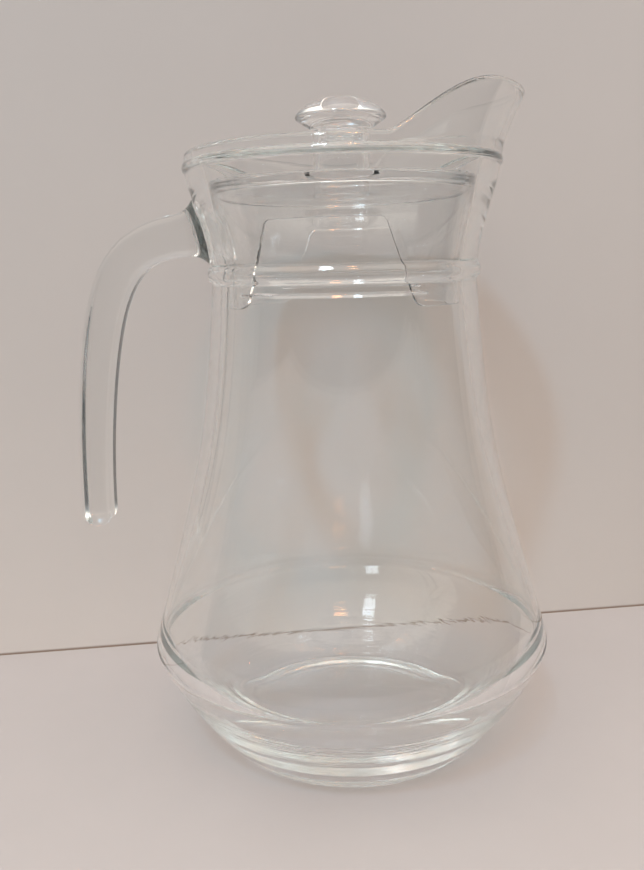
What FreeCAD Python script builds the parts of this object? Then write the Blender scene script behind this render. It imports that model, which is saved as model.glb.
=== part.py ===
"""Clear glass water jug with a lift-out clear plastic lid.

Millimetres. The origin is on the jug's axis, on the surface that it stands on, with +Z up.
The spout points along +X and the handle along -X. The glass is one pressed and blown body
with a handle fused to its neck. The lid is one moulding, and its knob plugs into its boss.
"""
import FreeCAD, Part
import math
import os

V = FreeCAD.Vector

# The jug's heights, stacked from the foot up
base_h = 38.0
body_h = 130.0
ring_h = 6.6
flare_h = 31.0
collar_h = 6.4

# The jug's outer radii
foot_r = 48.4
heel_r = 73.6
neck_r = 46.4
ring_proud = 1.3
flare_r = 53.9
bead_proud = 0.9
bead_h = 2.8
rim_r = 53.7

# The glass: floor, and wall at each level
floor_t = 4.6
floor_r = 40.0
floor_dome = 1.4
punt_depth = 2.6
punt_inset = 5.0
heel_round = 0.9
heel_in_up = 2.0
heel_in_round = 9.0
heel_wall = 3.0
neck_wall = 5.0
flare_wall = 7.4
rim_wall = 2.9
mouth_taper = 1.2
ledge_drop = 4.6
edge_round = 1.3

# The spout: how far it rises over the rim and reaches past it, and how wide it opens
spout_h = 17.4
spout_reach = 7.8
spout_start_deg = 75.0
spout_full_deg = 36.0
spout_pinch_deg = 34.0
spout_side_flare = 2.4

# The handle: a bar that leaves the neck level, bends down and ends free
handle_below_collar = 19.6
handle_drop = 106.0
grip_reach = 93.4
grip_lean = 8.9
bend_drop = 24.5
root_t = 15.4
root_w = 17.0
grip_t = 10.6
grip_w = 14.4
root_flare = 7.0
root_flare_run = 1.8
root_lean = 0.24
root_lean_run = 8.0
handle_squareness = 5.0

# The lid moulding: a disc on a deep skirt, with a window front and back that leaves two legs
seat_gap = 0.3
skirt_gap = 0.9
lid_turned_deg = -7.8
disc_below_collar = 3.0
disc_t = 2.8
disc_edge_round = 0.7
skirt_t = 1.7
skirt_h = 42.0
window_drop = 13.6
window_top_w = 35.6
window_foot_w = 52.0
leg_corner_r = 3.2
catch_up = 3.8
catch_h = 1.6
catch_gap = 0.3
catch_set_in = 3.0
boss_r = 9.7
boss_wall = 1.9
boss_h = 16.4

# The knob: a domed head on a ribbed plug that fits the lid's boss
plug_gap = 0.05
knob_seat_gap = 0.3
knob_r = 15.9
knob_under_r = 10.3
knob_h = 10.7
knob_brim_up = 3.7
brim_round = 1.0
knob_dome_deg = 62.0
knob_hollow_up = 4.0
plug_h = 8.2
plug_wall = 1.8
rib_count = 4
rib_depth = 0.9
rib_clear = 1.0

# Levels and radii that follow from the sizes above
heel_z = base_h
neck_z = heel_z + body_h
ring_z = neck_z + ring_h
collar_z = ring_z + flare_h
rim_z = collar_z + collar_h
tip_z = rim_z + spout_h
tip_r = rim_r + spout_reach
mouth_r = flare_r - flare_wall
mouth_top_r = mouth_r + mouth_taper
spout_root_z = collar_z + bead_h
throat_r = neck_r - neck_wall
ledge_z = rim_z - ledge_drop
disc_z = collar_z - disc_below_collar
skirt_z = disc_z - skirt_h
skirt_r = throat_r - skirt_gap
disc_r = mouth_r - seat_gap
boss_z = disc_z + boss_h
bore_r = boss_r - boss_wall
knob_z = boss_z + knob_seat_gap
root_z = collar_z - handle_below_collar
handle_end_z = root_z - handle_drop


def at(r, z):
    """A point in the half-plane that is turned about the jug's axis."""
    return V(r, 0, z)


def line(a, b):
    return Part.LineSegment(a, b).toShape()


def bezier(*poles):
    curve = Part.BezierCurve()
    curve.setPoles(list(poles))
    return curve.toShape()


def turned(edges):
    """The solid that a closed outline makes when it is turned about the axis."""
    face = Part.Face(Part.Wire(Part.__sortEdges__(edges)))
    solid = face.revolve(V(0, 0, 0), V(0, 0, 1), 360)
    if solid.Volume < 0:
        solid.reverse()
    return solid


def body_line(r_low, z_low, r_high, z_high):
    """The long hollow curve of the jug's side, steep at the neck and splayed at the heel."""
    h = z_high - z_low
    reach = r_low - r_high
    return bezier(at(r_low, z_low), at(r_low - 0.69 * reach, z_low + 0.49 * h),
                  at(r_high + 0.19 * reach, z_high - 0.457 * h), at(r_high, z_high))


def flare_line(r_low, z_low, r_high, z_high):
    """The trumpet curve from the neck ring out to the collar."""
    h = z_high - z_low
    reach = r_high - r_low
    return bezier(at(r_low, z_low), at(r_low + 0.2 * reach, z_low + 0.44 * h),
                  at(r_high - 0.22 * reach, z_high - 0.29 * h), at(r_high, z_high))


def between(edge, z_low, z_high):
    """The part of a rising outline edge that lies between two levels."""
    ends = []
    for z in (z_low, z_high):
        low, high = edge.ParameterRange
        for _ in range(48):
            mid = (low + high) / 2
            if edge.valueAt(mid).z < z:
                low = mid
            else:
                high = mid
        ends.append(low)
    return Part.Edge(edge.Curve, *ends)


def top_of(edge):
    """The upper end of a rising edge."""
    return edge.valueAt(edge.ParameterRange[1])


def foot_of(edge):
    """The lower end of a rising edge."""
    return edge.valueAt(edge.ParameterRange[0])


def base_line(r_foot, z_foot, r_heel, z_heel):
    """The bowl of the base, which spreads from the foot ring to the heel."""
    h = z_heel - z_foot
    reach = r_heel - r_foot
    return bezier(at(r_foot, z_foot), at(r_foot + 0.62 * reach, z_foot + 0.43 * h), at(r_heel, z_heel))


def outer_edges():
    """The outside of the glass, from the middle of the base up to the bead under the rim."""
    foot_in = at(foot_r - punt_inset, 0)
    foot_out = at(foot_r, 0)
    ring_out = neck_r + ring_proud
    ring_in = neck_r + 0.25 * ring_proud
    ring_mid = neck_z + 0.75 * ring_h
    bead_r = rim_r + bead_proud
    bead_low = collar_z + 0.5 * bead_h
    bowl = between(base_line(foot_r, 0, heel_r, heel_z), 0, heel_z - heel_round)
    side = between(body_line(heel_r, heel_z, neck_r, neck_z), heel_z + heel_round, neck_z)
    return [bezier(at(0, punt_depth), at(0.6 * foot_r, punt_depth), foot_in),
            line(foot_in, foot_out),
            bowl,
            bezier(top_of(bowl), at(heel_r, heel_z), foot_of(side)),
            side,
            bezier(at(neck_r, neck_z), at(ring_out, neck_z + 0.3 * ring_h), at(ring_out, ring_mid)),
            bezier(at(ring_out, ring_mid), at(ring_out, ring_z), at(ring_in, ring_z)),
            flare_line(ring_in, ring_z, flare_r, collar_z),
            bezier(at(flare_r, collar_z), at(bead_r, collar_z), at(bead_r, bead_low)),
            line(at(bead_r, bead_low), at(bead_r, collar_z + bead_h))]


def throat_line():
    """The inside of the neck flare, which the lid's skirt follows."""
    return flare_line(throat_r, ring_z, mouth_r, disc_z)


def inner_edges():
    """The inside of the glass, from the middle of the floor up to the ledge in the mouth."""
    heel_in = heel_r - heel_wall
    floor_z = punt_depth + floor_t
    floor_low = floor_z - floor_dome
    seat_end = heel_z + heel_in_up
    bowl_h = seat_end - floor_low
    throat_z = neck_z - heel_in_up
    reach = heel_in - floor_r
    bowl = bezier(at(floor_r, floor_low), at(floor_r + 0.25 * reach, floor_low - 0.6 * floor_dome),
                  at(floor_r + 0.78 * reach, floor_low + 0.44 * bowl_h), at(heel_in, seat_end))
    bowl = between(bowl, 0, seat_end - heel_in_round)
    side = between(body_line(heel_in, seat_end, throat_r, throat_z), seat_end + heel_in_round, throat_z)
    return [bezier(at(0, floor_z), at(0.7 * floor_r, floor_z), at(floor_r, floor_low)),
            bowl,
            bezier(top_of(bowl), at(heel_in, seat_end), foot_of(side)),
            side,
            line(at(throat_r, throat_z), at(throat_r, ring_z)),
            throat_line(),
            line(at(mouth_r, disc_z), at(mouth_top_r, ledge_z))]


def beak(angle_deg, share):
    """How far the spout's wall stands out past the rim at an angle and a share of its height."""
    pinch = math.exp(-(angle_deg / spout_pinch_deg) ** 2)
    side = spout_side_flare * math.exp(-(angle_deg / 80.0) ** 4)
    return side * share + (spout_reach - spout_side_flare) * pinch * share ** 1.25


def rim_outline(inset, z):
    """A level outline of the collar and spout wall, turned in from the outside by inset."""
    share = max(0.0, (z - spout_root_z) / (tip_z - spout_root_z))
    points = []
    for step in range(36):
        angle = step * 10.0
        r = rim_r + beak(180.0 - angle, share) - inset
        points.append(V(-r * math.cos(math.radians(angle)), -r * math.sin(math.radians(angle)), z))
    curve = Part.BSplineCurve()
    curve.interpolate(Points=points, PeriodicFlag=True)
    return Part.Wire(curve.toShape())


def rim_block(inset, low):
    """The collar and spout as a filled block, from a level up past the tip."""
    high = tip_z + ledge_drop
    levels = [low] + [low + (high - low) * (0.25 + 0.25 * step) for step in range(4)]
    return Part.makeLoft([rim_outline(inset, z) for z in levels], True, False)


def crest_height(x):
    """The spout's crest over the rim, against the distance from the axis."""
    start = rim_r * math.cos(math.radians(spout_start_deg))
    full = tip_r * math.cos(math.radians(spout_full_deg))
    share = min(1.0, max(0.0, (x - start) / (full - start)))
    return spout_h * math.sin(share * math.pi / 2) ** 1.15


def over_the_crest():
    """All the space over the rim and the spout's crest, as one block."""
    reach = 1.3 * tip_r
    top = tip_z + 2 * ledge_drop
    start = rim_r * math.cos(math.radians(spout_start_deg))
    crest = []
    for step in range(11):
        x = start + (1.07 * tip_r - start) * (step / 10.0) ** 1.2
        crest.append(V(x, 0, rim_z + crest_height(x)))
    curve = Part.BSplineCurve()
    curve.interpolate(crest)
    last = crest[-1]
    outline = [line(V(-reach, 0, rim_z), crest[0]), curve.toShape(),
               line(last, V(reach, 0, last.z)), line(V(reach, 0, last.z), V(reach, 0, top)),
               line(V(reach, 0, top), V(-reach, 0, top)), line(V(-reach, 0, top), V(-reach, 0, rim_z))]
    face = Part.Face(Part.Wire(outline))
    block = face.extrude(V(0, 2 * reach, 0))
    block.translate(V(0, -reach, 0))
    return block


def filled(edges, top_r, top_z, low_z):
    """The solid inside a turned outline that starts and ends on the axis."""
    return turned(edges + [line(at(top_r, top_z), at(0, top_z)), line(at(0, top_z), at(0, low_z))])


def jug_outside():
    """The outside of the glass as one filled solid, up to the bead under the rim."""
    return filled(outer_edges(), rim_r + bead_proud, collar_z + bead_h, punt_depth)


def jug_body():
    """The blown body: base, side, neck ring, flared neck, collar and spout."""
    outside = jug_outside().fuse(rim_block(0, collar_z))
    cavity = filled(inner_edges(), mouth_top_r, ledge_z, punt_depth + floor_t)
    mouth = rim_block(rim_wall, ledge_z)
    body = outside.cut(cavity.fuse(mouth)).cut(over_the_crest())
    low = rim_z - 0.01 * rim_r
    lip = [edge for edge in body.Edges if edge.BoundBox.ZMin > low and edge.Length > rim_r / 2]
    return body.makeFillet(edge_round, lip)


def handle_path():
    """The handle's centre line: level out of the neck, over the bend, down to its free end."""
    start = V(-throat_r, 0, root_z)
    bend_end = V(-(grip_reach - grip_lean), 0, root_z - bend_drop)
    end = V(-grip_reach, 0, handle_end_z)
    bend = Part.BezierCurve()
    bend.setPoles([start, V(0.835 * bend_end.x, 0, root_z),
                   V(0.93 * bend_end.x, 0, root_z - 0.28 * bend_drop), bend_end])
    drop = bend_end.z - end.z
    grip = Part.BezierCurve()
    grip.setPoles([bend_end, V(bend_end.x - 0.55 * grip_lean, 0, bend_end.z - 0.19 * drop),
                   V(end.x, 0, end.z + 0.42 * drop), end])
    return [bend, grip]


def bar_section(centre, along, thick, wide, lean):
    """A rounded square-cornered section of the handle, square to its centre line or leaning along it."""
    across = V(along.z, 0, -along.x) + along * lean
    points = []
    for step in range(20):
        turn = 2 * math.pi * (step + 0.5) / 20
        c = math.cos(turn)
        s = math.sin(turn)
        u = math.copysign(abs(c) ** (2 / handle_squareness), c) * thick / 2
        v = math.copysign(abs(s) ** (2 / handle_squareness), s) * wide / 2
        points.append(centre + across * u + V(0, v, 0))
    curve = Part.BSplineCurve()
    curve.interpolate(Points=points, PeriodicFlag=True)
    return Part.Wire(curve.toShape())


def handle():
    """The pressed glass handle, flared where it is fused to the neck and rounded at its end."""
    curves = handle_path()
    length = sum(curve.length() for curve in curves)
    end_round = grip_t / 2
    wall = flare_line(neck_r, ring_z, flare_r, collar_z)
    joint = foot_of(between(wall, root_z, collar_z)).x - throat_r
    stations = [joint + root_flare_run * run for run in (-2.2, -1.2, -0.4, 0.4, 1.2, 2.2, 3.4)]
    last = stations[-1]
    stations += [last + (length - 1.7 * end_round - last) * step / 9 for step in range(1, 10)]
    stations += [length - end_round * (1 - math.sin(math.radians(a))) for a in (0, 28, 52, 72)]
    sections = []
    for s in stations:
        curve = curves[0] if s <= curves[0].length() else curves[1]
        run = s if curve is curves[0] else s - curves[0].length()
        place = curve.parameterAtDistance(run)
        centre = curve.value(place)
        along = curve.tangent(place)[0]
        taper = (1 - s / length) ** 1.7
        flare = 2 * root_flare / (1 + math.exp((s - joint) / root_flare_run))
        lean = root_lean / (1 + math.exp((s - joint - root_lean_run) / root_flare_run))
        past = max(0.0, s - (length - end_round)) / end_round
        close = math.sqrt(1 - past * past)
        thick = (grip_t + (root_t - grip_t) * taper) * close + flare
        wide = (grip_w + (root_w - grip_w) * taper) * (1 - (1 - close) * grip_t / grip_w) + flare * 0.7
        sections.append(bar_section(centre, along, thick, wide, lean))
    bar = Part.makeLoft(sections, True, False)
    return bar.cut(jug_outside())


def skirt_line(inset, z_top):
    """The skirt's wall, which follows the flare of the neck and narrows its gap to the disc."""
    return flare_line(skirt_r - inset, ring_z, disc_r - inset, z_top)


def window_block(margin):
    """A wedge right through the skirt, front and back, whose foot rounds off the legs' corners."""
    foot = skirt_z - leg_corner_r
    top = disc_z - window_drop + margin
    half_top = window_top_w / 2 + margin
    half_foot = window_foot_w / 2 + margin
    turn_z = skirt_z + leg_corner_r
    half_turn = half_foot - (half_foot - half_top) * leg_corner_r / (top - skirt_z)
    edges = [line(V(-half_top, 0, top), V(half_top, 0, top))]
    for side in (-1, 1):
        corner_end = V(side * (half_foot + leg_corner_r), 0, skirt_z)
        edges += [line(V(side * half_top, 0, top), V(side * half_turn, 0, turn_z)),
                  bezier(V(side * half_turn, 0, turn_z), V(side * half_foot, 0, skirt_z), corner_end),
                  line(corner_end, V(corner_end.x, 0, foot))]
    edges.append(line(V(-half_foot - leg_corner_r, 0, foot), V(half_foot + leg_corner_r, 0, foot)))
    face = Part.Face(Part.Wire(Part.__sortEdges__(edges)))
    block = face.extrude(V(0, 4 * disc_r, 0))
    block.translate(V(0, -2 * disc_r, 0))
    return block


def catches():
    """A low ridge on the outside of each leg, which holds the lid in when the jug is tipped."""
    low = skirt_z + catch_up
    out = throat_r - catch_gap
    root = skirt_r - skirt_t / 2
    ring = turned([line(at(root, low), at(skirt_r, low)),
                   line(at(skirt_r, low), at(out, low + catch_h / 2)),
                   line(at(out, low + catch_h / 2), at(skirt_r, low + catch_h)),
                   line(at(skirt_r, low + catch_h), at(root, low + catch_h)),
                   line(at(root, low + catch_h), at(root, low))])
    return ring.cut(window_block(catch_set_in))


def lid():
    """The lid moulding: disc, skirt with its two windows, catches and the knob's boss."""
    under_z = disc_z - disc_t
    skirt_in = skirt_r - skirt_t
    outer = skirt_line(0, disc_z)
    inner = skirt_line(skirt_t, disc_z)
    outside = between(outer, ring_z, disc_z - disc_edge_round)
    inside = between(inner, ring_z, under_z)
    rim = top_of(outside)
    under = top_of(inside)
    shell = turned([line(at(0, under_z), under), inside, line(at(skirt_in, ring_z), at(skirt_in, skirt_z)),
                    line(at(skirt_in, skirt_z), at(skirt_r, skirt_z)),
                    line(at(skirt_r, skirt_z), at(skirt_r, ring_z)), outside,
                    bezier(rim, at(rim.x, disc_z), at(rim.x - disc_edge_round, disc_z)),
                    line(at(rim.x - disc_edge_round, disc_z), at(boss_r, disc_z)),
                    line(at(boss_r, disc_z), at(boss_r, boss_z)),
                    line(at(boss_r, boss_z), at(bore_r, boss_z)),
                    line(at(bore_r, boss_z), at(bore_r, disc_z)), line(at(bore_r, disc_z), at(0, disc_z)),
                    line(at(0, disc_z), at(0, under_z))])
    moulding = shell.cut(window_block(0)).fuse(catches())
    moulding.rotate(V(0, 0, 0), V(0, 0, 1), lid_turned_deg)
    return moulding


def ribbed_plug(core_r, low):
    """The outline of the plug's outside: snap ribs one over the other, then a plain stretch."""
    plug_r = core_r + rib_depth
    pitch = (plug_h - rib_clear) / rib_count
    edges = []
    for rib in range(rib_count):
        z = low + rib * pitch
        edges += [line(at(core_r, z), at(plug_r, z + 0.3 * pitch)),
                  line(at(plug_r, z + 0.3 * pitch), at(plug_r, z + 0.5 * pitch)),
                  line(at(plug_r, z + 0.5 * pitch), at(core_r, z + 0.8 * pitch)),
                  line(at(core_r, z + 0.8 * pitch), at(core_r, z + pitch))]
    return edges + [line(at(core_r, low + rib_count * pitch), at(core_r, knob_z))]


def lid_knob():
    """The knob: a domed head, hollow from below, on a plug with snap ribs."""
    core_r = bore_r - plug_gap - rib_depth
    hollow_r = core_r - plug_wall
    hollow_z = knob_z + knob_hollow_up
    low = boss_z - plug_h
    brim_z = knob_z + knob_brim_up
    top = knob_z + knob_h
    brim = at(knob_r, brim_z)
    under = at(knob_under_r, knob_z)
    dome_h = top - brim_z
    slope = math.radians(knob_dome_deg)
    leave = V(-math.cos(slope), 0, math.sin(slope))
    below = brim + (under - brim).normalize() * brim_round
    above = brim + leave * brim_round
    edges = [line(at(hollow_r, low), at(core_r, low))] + ribbed_plug(core_r, low)
    edges += [line(at(core_r, knob_z), under), line(under, below), bezier(below, brim, above),
              bezier(above, brim + leave * 0.6 * dome_h, at(0.5 * knob_r, top), at(0, top)),
              line(at(0, top), at(0, hollow_z)),
              bezier(at(0, hollow_z), at(hollow_r, hollow_z), at(hollow_r, knob_z)),
              line(at(hollow_r, knob_z), at(hollow_r, low))]
    return turned(edges)


if __name__ == "__main__":
    os.makedirs("parts", exist_ok=True)
    for piece in (jug_body, handle, lid, lid_knob):
        shape = piece()
        print(piece.__name__, shape.isValid(), len(shape.Solids), round(shape.Volume / 1000, 2), "cm3")
        shape.exportStep("parts/" + piece.__name__ + ".step")
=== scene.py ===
"""A clear glass water jug with a lift-out clear plastic lid, in metres, round its CAD frame."""
import bpy
import math
from mathutils import Matrix, Vector


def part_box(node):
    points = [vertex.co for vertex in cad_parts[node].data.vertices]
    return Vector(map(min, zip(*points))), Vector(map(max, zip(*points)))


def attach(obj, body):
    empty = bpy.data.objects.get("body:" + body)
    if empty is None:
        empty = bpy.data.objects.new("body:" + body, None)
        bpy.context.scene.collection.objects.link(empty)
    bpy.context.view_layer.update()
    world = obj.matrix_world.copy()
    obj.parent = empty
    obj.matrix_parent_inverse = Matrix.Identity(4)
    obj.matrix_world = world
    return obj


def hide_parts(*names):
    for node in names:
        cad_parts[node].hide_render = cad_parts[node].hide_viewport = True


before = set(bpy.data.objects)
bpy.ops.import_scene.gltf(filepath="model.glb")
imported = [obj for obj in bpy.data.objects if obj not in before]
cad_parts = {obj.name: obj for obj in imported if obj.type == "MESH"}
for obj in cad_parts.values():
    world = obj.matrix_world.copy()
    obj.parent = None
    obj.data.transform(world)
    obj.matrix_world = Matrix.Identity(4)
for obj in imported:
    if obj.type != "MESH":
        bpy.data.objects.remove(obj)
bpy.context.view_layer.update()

# Jug body. Clear soda-lime glass, blown and pressed in a mould: a thin bowl of a base on a foot
# ring, a side that splays to a crisp heel, a ring round the neck, and a flared mouth with a bead,
# a collar and a drawn-up spout. The whole wall is one closed skin of glass.
jug_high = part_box("jug_body")[1]
foot_r = 0.0484
foot_flat = 0.005
foot_round = 0.0018
punt_depth = 0.0026
heel_rounded_off = 0.00014
heel_r = jug_high.y + heel_rounded_off
heel_z = 0.038
heel_round = 0.0009
neck_r = 0.0464
neck_z = 0.168
ring_full_z = neck_z + 0.0036
ring_z = 0.1746
ring_proud = 0.0013
flare_z = ring_z + 0.0006
flare_r = 0.0539
collar_z = 0.2056
bead_proud = 0.0009
bead_h = 0.0028
rim_r = 0.0537
rim_z = 0.212
rim_wall = 0.0029
mouth_r = 0.0465
mouth_taper = 0.0012
ledge_z = 0.2074
disc_z = 0.2026
throat_r = 0.0414
floor_z = 0.0072
floor_r = 0.040
floor_dome = 0.0014
heel_wall = 0.003
heel_in = heel_r - heel_wall
seat_z = heel_z + 0.002
heel_in_round = 0.009
throat_z = neck_z - 0.002


def face_outwards():
    """Turns every face of the mesh in edit mode outwards, and leaves edit mode."""
    bpy.ops.mesh.select_all(action="SELECT")
    bpy.ops.mesh.normals_make_consistent(inside=False)
    bpy.ops.object.mode_set(mode="OBJECT")


def lathe(name, start, stretches, steps):
    """Draws half a cross-section as one Bezier line from axis to axis, and spins it into a skin.

    Each stretch gives its poles after the last point: one for a straight line, two for a corner
    rounded off, and three for a full curve.
    """
    bpy.ops.object.select_all(action="DESELECT")
    bpy.ops.curve.primitive_bezier_curve_add()
    drawn = bpy.context.object
    drawn.data.resolution_u = 14
    knots = drawn.data.splines[0].bezier_points
    knots.add(len(stretches) - 1)
    for knot in knots:
        knot.handle_left_type = knot.handle_right_type = "FREE"
    here = Vector(start)
    knots[0].co = (here.x, 0, here.y)
    knots[0].handle_left = knots[0].co
    for number, poles in enumerate(stretches):
        there = Vector(poles[-1])
        if len(poles) == 1:
            leave, arrive = here.lerp(there, 1 / 3), here.lerp(there, 2 / 3)
        elif len(poles) == 2:
            corner = Vector(poles[0])
            leave, arrive = here.lerp(corner, 2 / 3), there.lerp(corner, 2 / 3)
        else:
            leave, arrive = Vector(poles[0]), Vector(poles[1])
        knots[number].handle_right = (leave.x, 0, leave.y)
        knots[number + 1].co = (there.x, 0, there.y)
        knots[number + 1].handle_left = (arrive.x, 0, arrive.y)
        knots[number + 1].handle_right = knots[number + 1].co
        here = there
    bpy.ops.object.convert(target="MESH")
    skin = bpy.context.object
    skin.name = skin.data.name = name
    bpy.ops.object.mode_set(mode="EDIT")
    bpy.ops.mesh.select_all(action="SELECT")
    bpy.ops.mesh.spin(steps=steps, angle=math.tau, center=(0, 0, 0), axis=(0, 0, 1))
    bpy.ops.mesh.select_all(action="SELECT")
    bpy.ops.mesh.remove_doubles(threshold=0.000002)
    face_outwards()
    skin.location = (0, 0, 0)
    return skin


def rising(low, high, lean, lift):
    """The poles of a curve between two points, as shares of its reach and height at each end."""
    reach = high[0] - low[0]
    height = high[1] - low[1]
    return [(low[0] + lean[0] * reach, low[1] + lift[0] * height),
            (low[0] + lean[1] * reach, low[1] + lift[1] * height), high]


def falling(low, high, lean, lift):
    """The same curve drawn from its top to its foot."""
    first, second, top = rising(low, high, lean, lift)
    return [second, first, low]


def trimmed(poles, low=-1, high=1):
    """The poles of a rising curve, cut off below one level and above another if it passes them."""
    poles = [Vector(pole) for pole in poles]
    for level, keeps in ((low, -1), (high, 0)):
        if not poles[0].y < level < poles[-1].y:
            continue
        shares = [0, 1]
        for _ in range(40):
            share = sum(shares) / 2
            ladder = [poles]
            while len(ladder[-1]) > 1:
                ladder.append([a.lerp(b, share) for a, b in zip(ladder[-1], ladder[-1][1:])])
            shares[0 if ladder[-1][0].y < level else 1] = share
        poles = [rung[keeps] for rung in ladder]
        if keeps:
            poles.reverse()
    return [tuple(pole) for pole in poles]


base_lean, base_lift = 0.62, 0.43
side_lean, side_lift = (0.69, 0.81), (0.49, 0.543)
flare_lean, flare_lift = (0.2, 0.78), (0.44, 0.71)
bowl_lean, bowl_lift = (0.25, 0.78), 0.44
gutter_dip = 0.6
foot_in = foot_r - foot_flat
bowl_reach = heel_r - foot_r
ring_r = neck_r + ring_proud
ring_in = neck_r + 0.25 * ring_proud
bead_r = rim_r + bead_proud
bead_z = collar_z + bead_h
lip = rim_wall / 2
arc = 0.45 * lip
collar_in = rim_r - rim_wall
mouth_top_r = mouth_r + mouth_taper
soft = 0.0006
floor_low = floor_z - floor_dome
floor_reach = heel_in - floor_r
bowl_rise = seat_z - floor_low
heel = (heel_r, heel_z)
seat = (heel_in, seat_z)
base = trimmed([(foot_r, 0), (foot_r + base_lean * bowl_reach, base_lift * heel_z), heel],
               low=foot_round, high=heel_z - heel_round)
side = trimmed([heel, *rising(heel, (neck_r, neck_z), side_lean, side_lift)],
               low=heel_z + heel_round)
bowl = trimmed([(floor_r, floor_low),
                (floor_r + bowl_lean[0] * floor_reach, floor_low - gutter_dip * floor_dome),
                (floor_r + bowl_lean[1] * floor_reach, floor_low + bowl_lift * bowl_rise), seat],
               high=seat_z - heel_in_round)
side_in = trimmed([seat, *rising(seat, (throat_r, throat_z), side_lean, side_lift)],
                  low=seat_z + heel_in_round)

outside = [
    [(0.6 * foot_r, punt_depth), (foot_in - foot_round, 0.0002)],
    [(foot_in, 0), (foot_in + foot_round, 0)],
    [(foot_r - foot_round, 0)],
    [(foot_r, 0), base[0]],
    base[1:],
    [heel, side[0]],
    side[1:],
    [(neck_r, neck_z + 0.0014), (ring_r, neck_z + 0.0012), (ring_r, ring_full_z)],
    [(ring_r, ring_z - 0.0008), (ring_in, ring_z - 0.0012), (ring_in, flare_z)],
    rising((ring_in, flare_z), (flare_r, collar_z), flare_lean, flare_lift),
    [(bead_r, collar_z + 0.0002), (bead_r, collar_z + 0.5 * bead_h)],
    [(bead_r, bead_z), (rim_r, bead_z + 0.0004)],
    [(rim_r, rim_z - lip)],
    [(rim_r, rim_z - arc), (rim_r - arc, rim_z), (rim_r - lip, rim_z)],
]
inside = [
    [(collar_in + arc, rim_z), (collar_in, rim_z - arc), (collar_in, rim_z - lip)],
    [(collar_in, ledge_z + soft)],
    [(collar_in, ledge_z), (collar_in - soft, ledge_z)],
    [(mouth_top_r + soft, ledge_z)],
    [(mouth_top_r, ledge_z), (mouth_top_r - 0.15 * soft, ledge_z - soft)],
    [(mouth_r, disc_z)],
    falling((throat_r, ring_z), (mouth_r, disc_z), flare_lean, flare_lift),
    [(throat_r, throat_z)],
    side_in[-2::-1],
    [seat, bowl[-1]],
    bowl[-2::-1],
    [(0.7 * floor_r, floor_z), (0, floor_z)],
]
jug = lathe("jug_glass", (0, punt_depth), outside + inside, 160)

# The spout is drawn up and out of the collar while the glass is soft.
spout_h = jug_high.z - rim_z
spout_reach = 0.0078
spout_side = 0.0024
spout_spread = math.radians(80)
spout_pinch = math.radians(34)
crest_start = rim_r * math.cos(math.radians(75))
crest_full = (rim_r + spout_reach) * math.cos(math.radians(36))
drawn_from = bead_z + 0.0001
crest_bow = 1.15
lip_pull = 1.25
for vertex in jug.data.vertices:
    if vertex.co.z > drawn_from:
        radius = math.hypot(vertex.co.x, vertex.co.y)
        turn = math.atan2(vertex.co.y, vertex.co.x)
        up = min(1, (vertex.co.z - bead_z) / (rim_z - lip - bead_z))
        for _ in range(3):
            share = min(1, max(0, (vertex.co.x - crest_start) / (crest_full - crest_start)))
            rise = up * spout_h * math.sin(share * math.pi / 2) ** crest_bow
            high = (rise + up * (rim_z - bead_z)) / (jug_high.z - bead_z)
            out = spout_side * math.exp(-(turn / spout_spread) ** 4) * high
            pinch = math.exp(-(turn / spout_pinch) ** 2)
            out += (spout_reach - spout_side) * pinch * high ** lip_pull
            vertex.co.x = (radius + out) * math.cos(turn)
            vertex.co.y = (radius + out) * math.sin(turn)
        vertex.co.z += rise

# Handle. A pressed bar of the same glass, fused to the neck while both were hot: it leaves the
# neck level, bends down and ends free, so it is joined into the body's skin.
root_z = 0.186
root_start = 0.0462
neck_out = 0.0486
bend_x, bend_z = 0.0845, root_z - 0.0245
grip_x, grip_z = 0.0934, 0.080
grip_straight = 0.034
root_t, root_w = 0.0154, 0.017
grip_t, grip_w = 0.0106, 0.0144
root_flare = 0.007
root_lean = 0.24
root_lean_l = 0.008
root_run = 0.0018
root_end = 0.0015
arch_z = 0.16
sunk_r, sunk_z = 0.0436, 0.175
sunk_lean = 0.15
squareness = 5
bpy.ops.object.select_all(action="DESELECT")
bpy.ops.curve.primitive_bezier_curve_add()
path = bpy.context.object
path.data.resolution_u = 64
path.data.twist_mode = "MINIMUM"
knots = path.data.splines[0].bezier_points
knots.add(1)
root = (-root_start, 0, root_z)
bend = (-bend_x, 0, bend_z)
grip = (-grip_x, 0, grip_z)
for knot, (left, point, right) in zip(knots, [
        (root, root, (-0.835 * bend_x, 0, root_z)),
        ((-0.93 * bend_x, 0, root_z - 0.0069), bend, (-bend_x - 0.0049, 0, bend_z - 0.0155)),
        ((-grip_x, 0, grip_z + grip_straight), grip, grip)]):
    knot.handle_left_type = knot.handle_right_type = "FREE"
    knot.co = point
    knot.handle_left = left
    knot.handle_right = right
path.location = (0, 0, 0)
bar_l = path.data.splines[0].calc_length()
root_l = neck_out - root_start
end_r = grip_t / 2
bar_taper = 1.7


def bar_half(run):
    """Half the bar's thickness and width at a distance along it."""
    taper = (1 - run / bar_l) ** bar_taper
    past = max(0, run - (bar_l - end_r)) / end_r
    close = math.sqrt(max(0, 1 - past * past))
    flare = 2 * root_flare / (1 + math.exp((run - root_l) / root_run))
    thick = (grip_t + (root_t - grip_t) * taper) * close + flare
    wide = (grip_w + (root_w - grip_w) * taper) * (1 - (1 - close) * grip_t / grip_w) + 0.7 * flare
    return thick / 2, wide / 2


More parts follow.
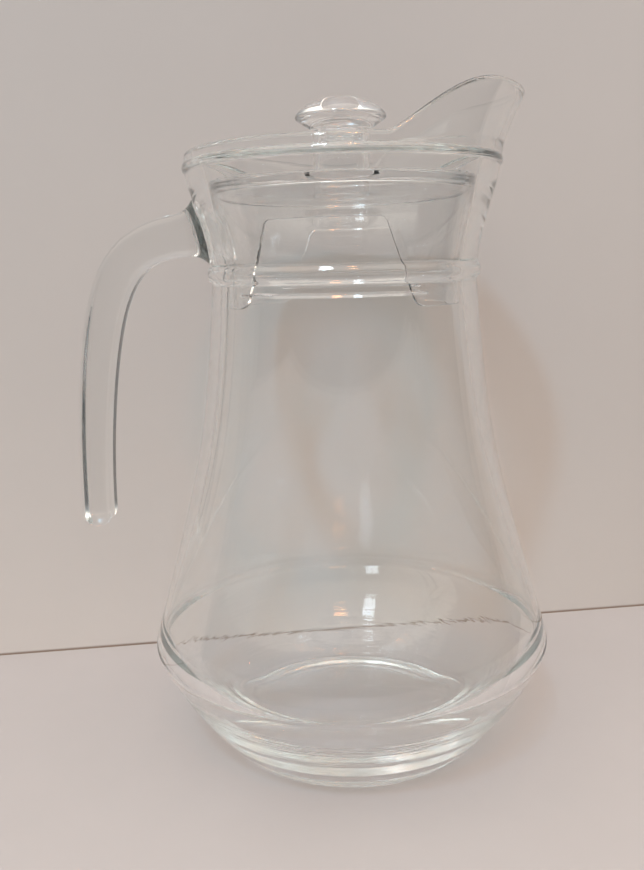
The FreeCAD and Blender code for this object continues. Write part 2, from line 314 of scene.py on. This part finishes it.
# The bar grows from a squarish face: in short steps where it flares at the root, then in even
# ones, and round its free end by angle.
runs = [0, 0.0022, 0.0028, 0.0034, 0.004, 0.0047, 0.0055, 0.0064, 0.0075, 0.0088, 0.0105, 0.0128]
flare_l = runs[-1]
runs += [flare_l + (bar_l - end_r - flare_l) * step / 30 for step in range(1, 31)]
runs += [bar_l - end_r * (1 - math.sin(math.radians(turn))) for turn in (15, 30, 45, 58, 70, 80)]
bpy.ops.object.select_all(action="DESELECT")
bpy.ops.mesh.primitive_circle_add(vertices=64, radius=1, fill_type="NGON",
                                  rotation=(0, math.pi / 2, 0))
bar = bpy.context.object
bpy.ops.object.transform_apply(location=False, rotation=True, scale=False)
half_t, half_w = bar_half(0)
for vertex in bar.data.vertices:
    turn = math.atan2(vertex.co.z, vertex.co.y)
    vertex.co.y = math.copysign(abs(math.cos(turn)) ** (2 / squareness), math.cos(turn)) * half_w
    vertex.co.z = math.copysign(abs(math.sin(turn)) ** (2 / squareness), math.sin(turn)) * half_t
bpy.ops.object.mode_set(mode="EDIT")
bpy.ops.mesh.select_all(action="SELECT")
for before, run in zip(runs, runs[1:]):
    thin, wide = (new / old for new, old in zip(bar_half(run), bar_half(before)))
    bpy.ops.mesh.extrude_region_move(TRANSFORM_OT_translate={"value": (run - before, 0, 0)})
    bpy.ops.transform.resize(value=(1, wide, thin), center_override=(run, 0, 0))
face_outwards()

# Its root leans as the flared neck does, and sinks into the neck's wall without coming through.
for vertex in bar.data.vertices:
    lean = root_lean / (1 + math.exp((vertex.co.x - root_l - root_lean_l) / root_run))
    vertex.co.x += lean * vertex.co.z
bpy.ops.object.modifier_add(type="CURVE")
bar.modifiers[-1].object = path
bar.modifiers[-1].deform_axis = "POS_X"
bpy.ops.object.modifier_apply(modifier=bar.modifiers[-1].name)
bpy.data.objects.remove(path)
for vertex in bar.data.vertices:
    end_x = -root_start - root_end - root_lean * (vertex.co.z - root_z)
    if vertex.co.x > end_x and vertex.co.z > arch_z:
        sunk = sunk_r + sunk_lean * (vertex.co.z - sunk_z)
        vertex.co.x = -math.sqrt(sunk ** 2 - vertex.co.y ** 2)


def combine(piece, tool, operation):
    """Joins a tool to a piece or cuts it out of the piece, and removes the tool."""
    bpy.ops.object.select_all(action="DESELECT")
    piece.select_set(True)
    bpy.context.view_layer.objects.active = piece
    bpy.ops.object.modifier_add(type="BOOLEAN")
    piece.modifiers[-1].operation = operation
    piece.modifiers[-1].solver = "EXACT"
    piece.modifiers[-1].object = tool
    bpy.ops.object.modifier_apply(modifier=piece.modifiers[-1].name)
    bpy.data.objects.remove(tool)


combine(jug, bar, "UNION")
bpy.ops.object.shade_smooth_by_angle(angle=math.radians(40))


class Value:
    """A value socket in a node tree. Arithmetic on it adds Math nodes."""

    def __init__(self, tree, socket):
        self.tree = tree
        self.socket = socket

    def math(self, operation, *others, flip=False):
        node = self.tree.nodes.new("ShaderNodeMath")
        node.operation = operation
        values = [self, *others]
        if flip:
            values.reverse()
        for socket, value in zip(node.inputs, values):
            if isinstance(value, Value):
                self.tree.links.new(value.socket, socket)
            else:
                socket.default_value = value
        return Value(self.tree, node.outputs[0])

    def __add__(self, other):
        return self.math("ADD", other)

    def __mul__(self, other):
        return self.math("MULTIPLY", other)

    def __sub__(self, other):
        return self.math("SUBTRACT", other)

    def __rsub__(self, other):
        return self.math("SUBTRACT", other, flip=True)

    __radd__ = __add__
    __rmul__ = __mul__


class Finish:
    """The nodes of a new material or world, with one method that adds any node."""

    def __init__(self, owner):
        owner.use_nodes = True
        self.owner = owner
        self.tree = owner.node_tree
        self.tree.nodes.clear()

    def node(self, kind, settings={}, **sockets):
        made = self.tree.nodes.new(kind)
        for key, value in settings.items():
            if key == "stops":
                ramp = made.color_ramp.elements
                for place, colour in value[1:-1]:
                    ramp.new(place)
                for stop, (place, colour) in zip(ramp, value):
                    stop.position = place
                    stop.color = (*colour, 1)
            else:
                setattr(made, key, value)
        for key, value in sockets.items():
            socket = made.inputs[key.replace("_", " ")]
            if isinstance(value, Value):
                value = value.socket
            if isinstance(value, bpy.types.NodeSocket):
                self.tree.links.new(value, socket)
            else:
                socket.default_value = value
        return made

    def value(self, made, output=0):
        return Value(self.tree, made.outputs[output])

    def noise(self, place, scale, detail, roughness=0.5):
        """A cloudy value over the surface."""
        return self.value(self.node("ShaderNodeTexNoise", Vector=place, Scale=scale, Detail=detail,
                                    Roughness=roughness))

    def ramp(self, value, low, high, top=1.0):
        """0 up to one level of a value and the top past another, straight between."""
        return self.value(self.node("ShaderNodeMapRange", Value=value, From_Min=low, From_Max=high,
                                    To_Max=top))

    def step(self, value, low, high):
        """0 on one side of two levels of a value and 1 on the other, smooth between."""
        return self.value(self.node("ShaderNodeMapRange", {"interpolation_type": "SMOOTHSTEP"},
                                    Value=value, From_Min=low, From_Max=high))

    def mixed_colour(self, factor, first, second):
        """A second colour, which may be a link, mixed into a first one by a factor."""
        made = self.node("ShaderNodeMix", {"data_type": "RGBA"}, Factor=factor)
        made.inputs[6].default_value = (*first, 1)
        if isinstance(second, bpy.types.NodeSocket):
            self.tree.links.new(second, made.inputs[7])
        else:
            made.inputs[7].default_value = (*second, 1)
        return made.outputs[2]

    def mixed(self, factor, first, second):
        """Two shaders mixed by a factor."""
        made = self.node("ShaderNodeMixShader", Fac=factor)
        self.tree.links.new(first.outputs[0], made.inputs[1])
        self.tree.links.new(second.outputs[0], made.inputs[2])
        return made

    def see_through(self, *colour):
        return self.node("ShaderNodeBsdfTransparent", Color=(*colour, 1))

    def let_through(self, body, passed):
        """A body's own shader, and another for light on its way through to a matt surface."""
        ray = self.node("ShaderNodeLightPath")
        on_its_way = self.value(ray, "Is Shadow Ray") + self.value(ray, "Is Diffuse Ray")
        return self.mixed(on_its_way.math("MINIMUM", 1), body, passed)


# Soda-lime glass: clear with a trace of green where it is thick, faintly wavy as a blown wall is,
# and streaked round the base, where the glass cooled first in the mould. Light that it lets
# through is lost at its edges, collar and bowl, and gathered in soft pools.
glass = Finish(bpy.data.materials.new("soda_lime_glass"))
place = glass.node("ShaderNodeTexCoord").outputs["Object"]
spot = glass.node("ShaderNodeSeparateXYZ", Vector=place)
height = glass.value(spot, 2)
ripple = glass.noise(place, 38.0, 1.0)
flat = glass.node("ShaderNodeMapping", Vector=place, Scale=(24.0, 24.0, 800.0)).outputs[0]
streak = glass.noise(flat, 1.0, 2.0)
round_base = glass.step(height, 0.034, 0.026)
relief = ripple * 0.25 + streak * round_base * 0.6
wavy = glass.node("ShaderNodeBump", Height=relief, Strength=1.0, Distance=0.00016)
grime = glass.noise(place, 60.0, 6.0, 0.65)
smear = glass.ramp(grime, 0.5, 0.75, 0.06)
body = glass.node("ShaderNodeBsdfPrincipled", Base_Color=(0.996, 1, 0.998, 1), Roughness=smear,
                  IOR=1.52, Transmission_Weight=1.0, Normal=wavy.outputs[0])
facing = glass.value(glass.node("ShaderNodeLayerWeight", Blend=0.5), 1)
edge_on = facing * facing
edge_on = edge_on * edge_on
collar = glass.step(height, 0.186, 0.202)
bowl_low = glass.step(height, 0.046, 0.036)
shade = edge_on * edge_on * 0.5 + collar * 0.4 + bowl_low * 0.2
pool = glass.step(glass.noise(place, 24.0, 0.0), 0.43, 0.57)
left = glass.step(glass.value(spot, 0), 0.045, -0.045)
clear = glass.mixed(pool * (left * 0.75 + 0.25), glass.see_through(0.99, 0.978, 0.966),
                    glass.see_through(1.055, 1.072, 1.088))
passed = glass.mixed(shade.math("MINIMUM", 1), clear, glass.see_through(0.12, 0.13, 0.13))
shader = glass.let_through(body, passed)
tint = glass.node("ShaderNodeVolumeAbsorption", Color=(0.86, 0.94, 0.93, 1), Density=4.0)
glass.node("ShaderNodeOutputMaterial", Surface=shader.outputs[0], Volume=tint.outputs[0])
jug.data.materials.clear()
jug.data.materials.append(glass.owner)
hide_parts("jug_body", "handle")
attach(jug, "jug")

# Lid. One moulding of clear plastic: a disc with a boss, on a deep skirt that follows the neck and
# has a window front and back, which leaves two legs. A low ridge on each leg catches the throat.
lid_low, lid_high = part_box("lid")
mouth_gap, throat_gap = 0.0003, 0.0009
sharp = 0.0003
disc_t = 0.0028
disc_r = mouth_r - mouth_gap
disc_edge = 0.0002
disc_round = 0.0007
skirt_r = throat_r - throat_gap
skirt_t = 0.0017
skirt_in = skirt_r - skirt_t
skirt_z = lid_low.z
boss_r = 0.0097
bore_r = 0.0078
boss_z = lid_high.z
under_z = disc_z - disc_t
boss_round = 0.0004
lid_turn = math.radians(-7.8)
lid_line = [
    [(bore_r - soft, disc_z)],
    [(bore_r, disc_z), (bore_r, disc_z + soft)],
    [(bore_r, boss_z - sharp)],
    [(bore_r, boss_z), (bore_r + sharp, boss_z)],
    [(boss_r - boss_round, boss_z)],
    [(boss_r, boss_z), (boss_r, boss_z - boss_round)],
    [(boss_r, disc_z + soft)],
    [(boss_r, disc_z), (boss_r + soft, disc_z)],
    [(disc_r - disc_round, disc_z)],
    [(disc_r - disc_edge / 2, disc_z), (disc_r - disc_edge, disc_z - disc_round)],
    falling((skirt_r, ring_z), (disc_r - disc_edge, disc_z - disc_round), flare_lean, flare_lift),
    [(skirt_r, skirt_z + sharp)],
    [(skirt_r, skirt_z), (skirt_r - sharp, skirt_z)],
    [(skirt_in + sharp, skirt_z)],
    [(skirt_in, skirt_z), (skirt_in, skirt_z + sharp)],
    [(skirt_in, ring_z)],
    rising((skirt_in, ring_z), (disc_r - skirt_t - 0.0008, under_z - 0.001),
           flare_lean, flare_lift),
    [(disc_r - skirt_t - 0.0006, under_z), (disc_r - skirt_t - 0.002, under_z)],
    [(0, under_z)],
]
lid = lathe("lid_moulding", (0, disc_z), lid_line, 128)
window_top = disc_z - 0.0136
window_half_top, window_half_foot = 0.0178, 0.026
window_round = 0.0012
window_reach = 0.06
window_foot_z = skirt_z - 0.004
corner_r = 0.0032


def flat_face(corners):
    """One upright face with these corners, in edit mode."""
    bpy.ops.object.select_all(action="DESELECT")
    bpy.ops.mesh.primitive_circle_add(vertices=len(corners), radius=1, fill_type="NGON",
                                      rotation=(math.pi / 2, 0, 0))
    face = bpy.context.object
    bpy.ops.object.transform_apply(location=False, rotation=True, scale=False)
    for vertex, corner in zip(face.data.vertices, corners):
        vertex.co = corner
    bpy.ops.object.mode_set(mode="EDIT")
    bpy.ops.mesh.select_all(action="SELECT")
    return face


# Half the window's outline: down one slanted side, to the leg's corner rounded at its foot, and
# out below the skirt. Its mirror image closes it, and the block cuts front and back at once.
slope = (window_half_foot - window_half_top) / (window_top - skirt_z)
half = [(window_half_top - window_round, window_top),
        (window_half_top - 0.0004, window_top - 0.0003),
        (window_half_top + window_round * slope, window_top - window_round)]
start = Vector((window_half_foot - slope * corner_r, skirt_z + corner_r))
turn = Vector((window_half_foot, skirt_z))
end = Vector((window_half_foot + corner_r, skirt_z))
for step in range(9):
    share = step / 8
    half.append(tuple(start.lerp(turn, share).lerp(turn.lerp(end, share), share)))
half.append((window_half_foot + corner_r, window_foot_z))
outline = half + [(-x, z) for x, z in reversed(half)]
window = flat_face([(x, -window_reach, z) for x, z in outline])
bpy.ops.mesh.extrude_region_move(TRANSFORM_OT_translate={"value": (0, 2 * window_reach, 0)})
face_outwards()
combine(lid, window, "DIFFERENCE")
bpy.ops.object.modifier_add(type="BEVEL")
lid.modifiers[-1].width = sharp
lid.modifiers[-1].segments = 2
lid.modifiers[-1].angle_limit = math.radians(60)
bpy.ops.object.modifier_apply(modifier=lid.modifiers[-1].name)

# Each catch is a ridge swept part of the way round its leg.
catch_z = skirt_z + 0.0038
catch_h = 0.0016
catch_out = throat_r - 0.0003
catch_foot = skirt_r + 0.00002
catch_root = skirt_r - 0.0008
catch_inset = 0.003
catch_half = math.pi / 2 - math.asin((window_half_foot + catch_inset) / skirt_r)
for middle in (0, math.pi):
    first = middle - catch_half
    ridge = flat_face([(out * math.cos(first), out * math.sin(first), up) for out, up in (
        (catch_root, catch_z), (catch_foot, catch_z),
        (catch_out, catch_z + catch_h / 2), (catch_root, catch_z + catch_h))])
    bpy.ops.mesh.spin(steps=32, angle=2 * catch_half, center=(0, 0, 0), axis=(0, 0, 1))
    face_outwards()
    combine(lid, ridge, "UNION")
bpy.ops.object.shade_smooth_by_angle(angle=math.radians(35))
bpy.ops.object.mode_set(mode="EDIT")
bpy.ops.mesh.select_all(action="SELECT")
bpy.ops.transform.rotate(value=-lid_turn, orient_axis="Z", center_override=(0, 0, 0))
bpy.ops.object.mode_set(mode="OBJECT")

# Clear polystyrene, a little duller than the glass from handling.
plastic = Finish(bpy.data.materials.new("clear_plastic"))
place = plastic.node("ShaderNodeTexCoord").outputs["Object"]
flow = plastic.noise(place, 120.0, 1.0)
wavy = plastic.node("ShaderNodeBump", Height=flow, Strength=1.0, Distance=0.00001)
scuff = plastic.noise(place, 260.0, 5.0, 0.7)
dull = plastic.ramp(scuff, 0.5, 0.8, 0.1)
body = plastic.node("ShaderNodeBsdfPrincipled", Base_Color=(0.996, 0.998, 1, 1), Roughness=dull,
                    IOR=1.55, Transmission_Weight=1.0, Normal=wavy.outputs[0])
facing = plastic.value(plastic.node("ShaderNodeLayerWeight", Blend=0.5), 1)
passed = plastic.mixed(facing * facing * facing * 0.8, plastic.see_through(0.99, 0.99, 0.99),
                       plastic.see_through(0.12, 0.13, 0.13))
shader = plastic.let_through(body, passed)
plastic.node("ShaderNodeOutputMaterial", Surface=shader.outputs[0])
lid.data.materials.clear()
lid.data.materials.append(plastic.owner)
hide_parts("lid")
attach(lid, "lid")

# Knob. A domed clear plastic head, hollow from below, on a plug whose rounded ribs snap into the
# boss. It is moulded in one, of the lid's plastic.
knob_low, knob_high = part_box("lid_knob")
brim_rounded_off = 0.0003
knob_r = knob_high.x + brim_rounded_off
knob_top = knob_high.z
knob_z = boss_z + 0.0003
brim_z = knob_z + 0.0037
under_r = 0.0103
brim_round = 0.001
rib_depth = 0.0009
rib_gap = 0.00005
core_r = bore_r - rib_gap - rib_depth
plug_r = core_r + rib_depth
hollow_r = core_r - 0.0018
hollow_z = knob_z + 0.004
plug_z = knob_low.z
rib_count = 4
neck_above = 0.001
pitch = (boss_z - plug_z - neck_above) / rib_count
crest_low, crest_high = 0.06 * pitch, 0.4 * pitch
root_low, root_high = 0.74 * pitch, 0.8 * pitch
dome_slope = math.radians(62)
dome_pull = 0.6 * (knob_top - brim_z)
brim, under = Vector((knob_r, brim_z)), Vector((under_r, knob_z))
inward = Vector((-math.cos(dome_slope), math.sin(dome_slope)))
knob_line = [[(hollow_r, hollow_z), (hollow_r, knob_z)], [(hollow_r, plug_z)], [(core_r, plug_z)]]
for rib in range(rib_count):
    z = plug_z + rib * pitch
    knob_line += [[(plug_r, z + crest_low), (plug_r, z + crest_high)],
                  [(plug_r, z + root_low), (core_r, z + root_high)], [(core_r, z + pitch)]]
knob_line += [
    [(core_r, knob_z)],
    [(under_r - sharp, knob_z)],
    [(under_r, knob_z), (under_r + sharp, knob_z + 0.0002)],
    [tuple(brim + (under - brim).normalized() * brim_round)],
    [tuple(brim), tuple(brim + inward * brim_round)],
    [tuple(brim + inward * dome_pull), (0.5 * knob_r, knob_top), (0, knob_top)],
]
knob = lathe("knob_moulding", (0, hollow_z), knob_line, 96)
bpy.ops.object.shade_smooth_by_angle(angle=math.radians(35))
knob.data.materials.clear()
knob.data.materials.append(plastic.owner)
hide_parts("lid_knob")
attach(knob, "knob")

# Table top, matt and pale, a little smudged. It ends a hand's breadth in front of the jug.
table_front, table_back = -0.2, 0.5
table_left, table_right = -0.6, 0.36
table_z = -0.0001
bpy.ops.object.select_all(action="DESELECT")
bpy.ops.mesh.primitive_plane_add(size=1)
table = bpy.context.object
table.name = "table"
corners = [(x, y, table_z) for y in (table_front, table_back) for x in (table_left, table_right)]
for vertex, corner in zip(table.data.vertices, corners):
    vertex.co = corner
laminate = Finish(bpy.data.materials.new("table_laminate"))
place = laminate.node("ShaderNodeTexCoord").outputs["Object"]
smudge = laminate.noise(place, 14.0, 5.0, 0.6)
colour = laminate.mixed_colour(smudge, (0.424, 0.382, 0.362), (0.466, 0.420, 0.400))
body = laminate.node("ShaderNodeBsdfPrincipled", Base_Color=colour, Roughness=0.6)
laminate.node("ShaderNodeOutputMaterial", Surface=body.outputs[0])
table.data.materials.append(laminate.owner)

# A wall close behind, a little skew, its paint patchy. Its colour carries painted light: lighter
# towards the bottom as painted bounce light from the table, lighter high up on the right and
# darker low down on the right. A thin dark brown line runs along its foot where it meets the
# table. From behind it is left out, so that the jug can be seen.
wall_turn = math.atan(0.15)
wall_l, wall_h = 1.2, 0.7
bpy.ops.mesh.primitive_plane_add(size=1, location=(-0.02, 0.0755, wall_h / 2),
                                 rotation=(math.pi / 2, 0, wall_turn))
wall = bpy.context.object
wall.name = "wall"
wall.scale = (wall_l, wall_h, 1)
bpy.ops.object.transform_apply(location=True, rotation=True, scale=True)
paint = Finish(bpy.data.materials.new("wall_paint"))
place = paint.node("ShaderNodeTexCoord").outputs["Object"]
spot = paint.node("ShaderNodeSeparateXYZ", Vector=place)
right, height = paint.value(spot, 0).math("MAXIMUM", 0), paint.value(spot, 2)
patch = paint.noise(place, 9.0, 6.0, 0.62)
# Painted light: lighter towards the bottom, lighter high up on the right and darker low down on
# the right; the noise patches are the paint's own patchiness.
patches_and_painted_light = 0.475 - height * 0.15 + patch * 0.3 + right * (height - 0.12) * 15
paint_with_painted_light = paint.mixed_colour(patches_and_painted_light, (0.505, 0.454, 0.412), (0.665, 0.599, 0.548))
# A thin dark brown line along the wall's foot, up to about 1.6 mm, where it meets the table.
wall_foot_line = paint.step(height, 0.0005, 0.0016)
colour = paint.mixed_colour(wall_foot_line, (0.24, 0.17, 0.125), paint_with_painted_light)
body = paint.node("ShaderNodeBsdfPrincipled", Base_Color=colour, Roughness=0.7)
shader = paint.mixed(paint.node("ShaderNodeNewGeometry").outputs["Backfacing"], body,
                     paint.see_through(1, 1, 1))
paint.node("ShaderNodeOutputMaterial", Surface=shader.outputs[0])
wall.data.materials.append(paint.owner)

# Light: a room with a warm pale ceiling and a dim front, dark below the horizon, a cool lamp above
# on the left, and a weak warm one above on the right.
room = Finish(bpy.data.worlds.new("room"))
bpy.context.scene.world = room.owner
place = room.node("ShaderNodeTexCoord").outputs["Generated"]
way = room.node("ShaderNodeSeparateXYZ", Vector=place)
across, up = room.value(way, 0), room.value(way, 2)
levels = [(0, (0.03, 0.03, 0.03)), (0.46, (0.04, 0.04, 0.04)), (0.52, (0.12, 0.125, 0.125)),
          (0.66, (0.26, 0.27, 0.27)), (0.80, (0.88, 0.83, 0.745)), (1, (1.0, 0.935, 0.84))]
sky = room.node("ShaderNodeValToRGB", {"stops": levels}, Fac=up * 0.5 + 0.5)
glow = room.node("ShaderNodeBackground", Color=sky.outputs[0], Strength=1.97 - across * 0.4)
room.node("ShaderNodeOutputWorld", Surface=glow.outputs[0])
light_aim = Vector((0, 0, 0.1))


def lamp(name, place, size, power, colour, seen_only=False):
    """A soft box that faces the jug, or one that only shows in its reflections."""
    bpy.ops.object.light_add(type="AREA", location=place)
    made = bpy.context.object
    made.name = name
    made.rotation_mode = "QUATERNION"
    made.rotation_quaternion = (light_aim - Vector(place)).to_track_quat("-Z", "Y")
    made.data.shape = "RECTANGLE"
    made.data.size, made.data.size_y = size
    made.data.energy = power
    made.data.color = colour
    made.visible_diffuse = not seen_only


lamp("cool_lamp", (-0.40, -1.17, 1.74), (0.10, 0.14), 17, (0.36, 0.71, 1))
lamp("warm_lamp", (0.21, -1.19, 1.76), (0.14, 0.10), 6, (1, 0.3, 0.1))
lamp("cool_card", (-0.40, -1.16, 1.72), (0.25, 0.6), 16, (0.8, 0.92, 1), seen_only=True)
lamp("warm_card", (0.21, -1.18, 1.74), (0.3, 0.2), 2.4, (1, 0.45, 0.15), seen_only=True)

# Camera, close and a little below the rim, as one held in the hand is.
eye = (0, -0.3062, 0.1771)
turn, tilt, roll = 0.0297, 0.2071, -0.0258
camera_data = bpy.data.cameras.new("camera")
camera = bpy.data.objects.new("camera", camera_data)
bpy.context.scene.collection.objects.link(camera)
camera_data.sensor_width = 36
camera_data.lens = 35.18
camera.matrix_world = (Matrix.Translation(eye) @ Matrix.Rotation(turn, 4, "Z")
                       @ Matrix.Rotation(math.pi / 2 - tilt, 4, "X")
                       @ Matrix.Rotation(roll, 4, "Z"))
bpy.context.scene.camera = camera
bpy.context.scene.view_settings.view_transform = "Standard"

# Light turns many times inside thick glass before it leaves.
for kind in ("max_bounces", "glossy_bounces", "transmission_bounces", "transparent_max_bounces"):
    setattr(bpy.context.scene.cycles, kind, 32)
